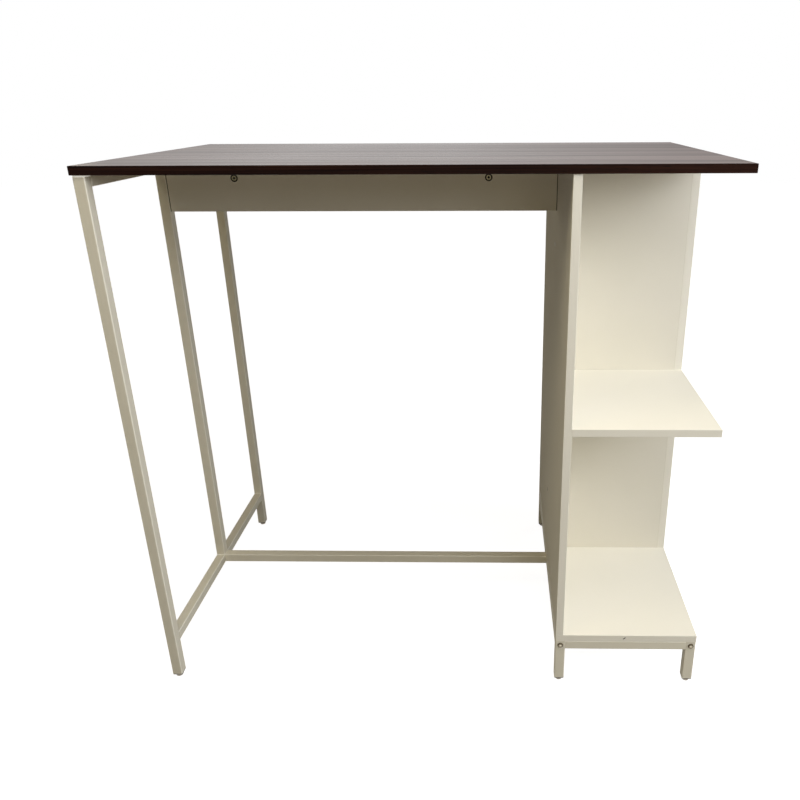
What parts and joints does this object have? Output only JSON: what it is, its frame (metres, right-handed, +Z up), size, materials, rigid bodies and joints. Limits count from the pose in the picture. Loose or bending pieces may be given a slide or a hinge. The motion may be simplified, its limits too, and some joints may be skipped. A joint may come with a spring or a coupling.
{
  "type": "bar table",
  "caption": "High rectangular table with a dark top, an open square-tube leg frame at one end, a two-sided shelf unit at the other, an apron, a stretcher and screw-in levelling feet.",
  "frame": {"origin": "on the floor, straight under the middle of the table top", "axes": "+X along the length, towards the shelf unit; +Y to the back, away from the open side of the front shelf; +Z up"},
  "size_m": [1.1, 0.6, 1.05],
  "materials": {
    "dark_board": "satin dark brown wood-grain laminate on particle board",
    "cream_board": "satin cream melamine on particle board",
    "cream_steel": "satin cream powder coat on mild steel tube",
    "white_plastic": "moulded polyethylene",
    "dark_plastic": "moulded polyethylene",
    "glide_plastic": "translucent moulded nylon",
    "zinc_casting": "die-cast zinc",
    "zinc_steel": "zinc plated",
    "dark_steel": "dark zinc plated",
    "beech": "fluted beech"
  },
  "bodies": {
    "table": {"apron": "cream_board", "apron_cam_bolts": "zinc_steel", "apron_cam_locks": "zinc_casting", "apron_leg_screws": "dark_steel", "base_board_screws": "dark_steel", "base_bolts": "dark_steel", "base_foot_front_left": "cream_steel", "base_foot_front_right": "cream_steel", "base_foot_rear_left": "cream_steel", "base_foot_rear_right": "cream_steel", "base_front_rail": "cream_steel", "base_left_rail": "cream_steel", "base_rear_rail": "cream_steel", "base_right_rail": "cream_steel", "bottom_board": "cream_board", "divider": "cream_board", "end_panel": "cream_board", "foot_inserts": "dark_plastic", "front_shelf": "cream_board", "left_front_leg": "cream_steel", "left_lower_rail": "cream_steel", "left_middle_leg": "cream_steel", "left_rear_leg": "cream_steel", "left_top_rail": "cream_steel", "leg_top_caps": "white_plastic", "panel_cam_bolts": "zinc_steel", "panel_cam_locks": "zinc_casting", "panel_screws": "dark_steel", "rail_end_nuts": "zinc_steel", "rear_shelf": "cream_board", "shelf_cam_bolts": "zinc_steel", "shelf_cam_locks": "zinc_casting", "side_panel": "cream_board", "stretcher": "cream_steel", "stretcher_bolts": "dark_steel", "table_top": "dark_board", "top_rail_screws": "dark_steel", "wood_dowels": "beech"},
    "levelling_foot_left_front": {"glide_left_front": "glide_plastic", "glide_stud_left_front": "zinc_steel"},
    "levelling_foot_left_rear": {"glide_left_rear": "glide_plastic", "glide_stud_left_rear": "zinc_steel"},
    "levelling_foot_unit_front_left": {"glide_unit_front_left": "glide_plastic", "glide_stud_unit_front_left": "zinc_steel"},
    "levelling_foot_unit_front_right": {"glide_unit_front_right": "glide_plastic", "glide_stud_unit_front_right": "zinc_steel"},
    "levelling_foot_unit_rear_left": {"glide_unit_rear_left": "glide_plastic", "glide_stud_unit_rear_left": "zinc_steel"},
    "levelling_foot_unit_rear_right": {"glide_unit_rear_right": "glide_plastic", "glide_stud_unit_rear_right": "zinc_steel"}
  },
  "joints": [
    {"name": "left_front_glide_height", "type": "slide", "parent": "table", "child": "levelling_foot_left_front", "axis": [0, 0, -1], "range_m": [0, 0.008]},
    {"name": "left_rear_glide_height", "type": "slide", "parent": "table", "child": "levelling_foot_left_rear", "axis": [0, 0, -1], "range_m": [0, 0.008]},
    {"name": "unit_front_left_glide_height", "type": "slide", "parent": "table", "child": "levelling_foot_unit_front_left", "axis": [0, 0, -1], "range_m": [0, 0.008]},
    {"name": "unit_front_right_glide_height", "type": "slide", "parent": "table", "child": "levelling_foot_unit_front_right", "axis": [0, 0, -1], "range_m": [0, 0.008]},
    {"name": "unit_rear_left_glide_height", "type": "slide", "parent": "table", "child": "levelling_foot_unit_rear_left", "axis": [0, 0, -1], "range_m": [0, 0.008]},
    {"name": "unit_rear_right_glide_height", "type": "slide", "parent": "table", "child": "levelling_foot_unit_rear_right", "axis": [0, 0, -1], "range_m": [0, 0.008]}
  ]
}
